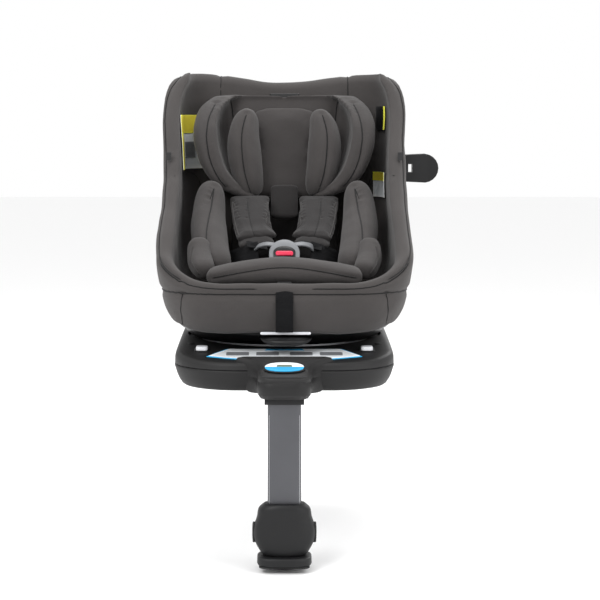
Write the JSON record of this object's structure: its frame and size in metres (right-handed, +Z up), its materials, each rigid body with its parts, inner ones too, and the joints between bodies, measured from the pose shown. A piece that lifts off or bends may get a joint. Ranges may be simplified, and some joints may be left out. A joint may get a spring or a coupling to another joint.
{
  "type": "convertible car seat",
  "caption": "Rotating child car seat: padded bucket with sliding headrest and harness, reclining on a turntable over an anchored base with a folding load leg and a plug-in side pod.",
  "frame": {"origin": "on the flat underside of the base, on the vertical axis that the seat turns about", "axes": "+Z up; the child faces -Y in the rest pose; +X is to the child's left, the side that carries the side impact pod"},
  "size_m": [0.506, 0.6905, 0.814],
  "materials": {
    "base_plastic": "matte",
    "shell_plastic": "satin",
    "button_grey": "satin",
    "button_red": "gloss",
    "leg_paint": "satin",
    "steel": "satin",
    "black_steel": "satin",
    "rubber": "matte",
    "fabric": "matte",
    "pad_fabric": "matte",
    "webbing": "matte",
    "label": "satin"
  },
  "bodies": {
    "base": {"base_lower_housing": "base_plastic", "base_upper_housing": "base_plastic", "base_frame_plate": "steel", "turntable_bearing_ring": "steel", "leg_hinge_pin": "steel", "leg_indicator_lens": "label", "guide_label_plate": "label"},
    "isofix_carriage": {"isofix_crossbar": "black_steel", "isofix_arm_left": "black_steel", "isofix_arm_right": "black_steel"},
    "isofix_jaw_left": {"isofix_jaw_left": "steel"},
    "isofix_jaw_right": {"isofix_jaw_right": "steel"},
    "isofix_release_left": {"isofix_release_left": "button_grey"},
    "isofix_release_right": {"isofix_release_right": "button_grey"},
    "isofix_button_left": {"isofix_adjust_button_left": "button_grey"},
    "isofix_button_right": {"isofix_adjust_button_right": "button_grey"},
    "load_leg": {"leg_knuckle": "base_plastic", "leg_outer_tube": "leg_paint", "leg_foot_housing": "base_plastic"},
    "leg_button_left": {"leg_adjust_button_left": "rubber"},
    "leg_button_right": {"leg_adjust_button_right": "rubber"},
    "leg_foot": {"leg_inner_tube": "steel", "leg_foot_pad": "base_plastic", "leg_foot_sole": "rubber"},
    "foot_sensor": {"foot_sensor_pin": "rubber"},
    "turntable": {"turntable_dish": "shell_plastic", "recline_carriage": "shell_plastic"},
    "rotation_lever": {"rotation_release_lever": "button_grey"},
    "seat": {"seat_shell": "shell_plastic", "seat_cover": "fabric", "recline_rocker": "shell_plastic", "insert_seat_pad": "pad_fabric", "insert_back_pad": "pad_fabric", "insert_bolster_left": "pad_fabric", "insert_bolster_right": "pad_fabric", "tongue_holder_left": "rubber", "tongue_holder_right": "rubber", "buckle_housing": "base_plastic", "crotch_strap": "webbing", "harness_tongue_left": "steel", "harness_tongue_right": "steel", "lap_strap_left": "webbing", "lap_strap_right": "webbing", "harness_adjuster_housing": "base_plastic", "adjuster_webbing": "webbing", "pod_socket": "base_plastic"},
    "buckle_button": {"buckle_button": "button_red"},
    "harness_button": {"harness_release_button": "base_plastic"},
    "recline_handle": {"recline_handle": "shell_plastic"},
    "headrest": {"headrest_shell": "shell_plastic", "headrest_pad": "fabric", "head_insert_left": "pad_fabric", "head_insert_right": "pad_fabric", "shoulder_pad_left": "pad_fabric", "shoulder_pad_right": "pad_fabric"},
    "headrest_lever": {"headrest_lever": "base_plastic"},
    "side_pod": {"side_impact_pod": "base_plastic"}
  },
  "joints": [
    {"name": "isofix_extend", "type": "slide", "parent": "base", "child": "isofix_carriage", "axis": [0, 1, 0], "range_m": [0, 0.12]},
    {"name": "isofix_jaw_left_open", "type": "hinge", "parent": "isofix_carriage", "child": "isofix_jaw_left", "pos_m": [0.14, 0.262, 0.0145], "axis": [-1, 0, 0], "range_deg": [0, 30]},
    {"name": "isofix_jaw_right_open", "type": "hinge", "parent": "isofix_carriage", "child": "isofix_jaw_right", "pos_m": [-0.14, 0.262, 0.0145], "axis": [-1, 0, 0], "range_deg": [0, 30]},
    {"name": "isofix_release_left_pull", "type": "slide", "parent": "isofix_carriage", "child": "isofix_release_left", "axis": [0, -1, 0], "range_m": [0, 0.006], "stiffness_N_per_m": 600, "springref_m": -0.002},
    {"name": "isofix_release_right_pull", "type": "slide", "parent": "isofix_carriage", "child": "isofix_release_right", "axis": [0, -1, 0], "range_m": [0, 0.006], "stiffness_N_per_m": 600, "springref_m": -0.002},
    {"name": "isofix_button_left_press", "type": "slide", "parent": "base", "child": "isofix_button_left", "axis": [0, 0, -1], "range_m": [0, 0.004], "stiffness_N_per_m": 800, "springref_m": -0.002},
    {"name": "isofix_button_right_press", "type": "slide", "parent": "base", "child": "isofix_button_right", "axis": [0, 0, -1], "range_m": [0, 0.004], "stiffness_N_per_m": 800, "springref_m": -0.002},
    {"name": "load_leg_fold", "type": "hinge", "parent": "base", "child": "load_leg", "pos_m": [0, -0.335, 0.012], "axis": [1, 0, 0], "range_deg": [0, 90]},
    {"name": "leg_button_left_press", "type": "slide", "parent": "load_leg", "child": "leg_button_left", "axis": [-1, 0, 0], "range_m": [0, 0.004], "stiffness_N_per_m": 800, "springref_m": -0.002},
    {"name": "leg_button_right_press", "type": "slide", "parent": "load_leg", "child": "leg_button_right", "axis": [1, 0, 0], "range_m": [0, 0.004], "stiffness_N_per_m": 800, "springref_m": -0.002},
    {"name": "leg_extend", "type": "slide", "parent": "load_leg", "child": "leg_foot", "axis": [0, 0, 1], "range_m": [-0.15, 0]},
    {"name": "foot_sensor_press", "type": "slide", "parent": "leg_foot", "child": "foot_sensor", "axis": [0, 0, 1], "range_m": [0, 0.005], "stiffness_N_per_m": 800, "springref_m": -0.002},
    {"name": "seat_rotate", "type": "hinge", "parent": "base", "child": "turntable", "pos_m": [0, 0, 0.06], "axis": [0, 0, 1], "continuous": true},
    {"name": "rotation_lever_press", "type": "slide", "parent": "turntable", "child": "rotation_lever", "axis": [0, -1, 0], "range_m": [0, 0.006], "stiffness_N_per_m": 600, "springref_m": -0.002},
    {"name": "seat_recline", "type": "hinge", "parent": "turntable", "child": "seat", "pos_m": [0, 0, 0.55], "axis": [-1, 0, 0], "range_deg": [0, 14]},
    {"name": "buckle_button_press", "type": "slide", "parent": "seat", "child": "buckle_button", "axis": [0, 0.8192, -0.5736], "range_m": [0, 0.003], "stiffness_N_per_m": 1200, "springref_m": -0.001},
    {"name": "harness_button_press", "type": "slide", "parent": "seat", "child": "harness_button", "axis": [0, 0, -1], "range_m": [0, 0.003], "stiffness_N_per_m": 800, "springref_m": -0.001},
    {"name": "recline_handle_pull", "type": "slide", "parent": "seat", "child": "recline_handle", "axis": [0, -1, 0], "range_m": [0, 0.012], "stiffness_N_per_m": 900, "springref_m": -0.002},
    {"name": "headrest_raise", "type": "slide", "parent": "seat", "child": "headrest", "axis": [0, 0.3304, 0.9439], "range_m": [0, 0.12]},
    {"name": "headrest_lever_lift", "type": "slide", "parent": "headrest", "child": "headrest_lever", "axis": [0, 0.3304, 0.9439], "range_m": [0, 0.005], "stiffness_N_per_m": 700, "springref_m": -0.002},
    {"name": "pod_unplug", "type": "slide", "parent": "seat", "child": "side_pod", "axis": [1, 0, 0], "range_m": [0, 0.03]}
  ],
  "couplings": [
    {"joint": "isofix_jaw_left_open", "follows": "isofix_release_left_pull", "rad_per_m": 87.265},
    {"joint": "isofix_jaw_right_open", "follows": "isofix_release_right_pull", "rad_per_m": 87.265}
  ]
}
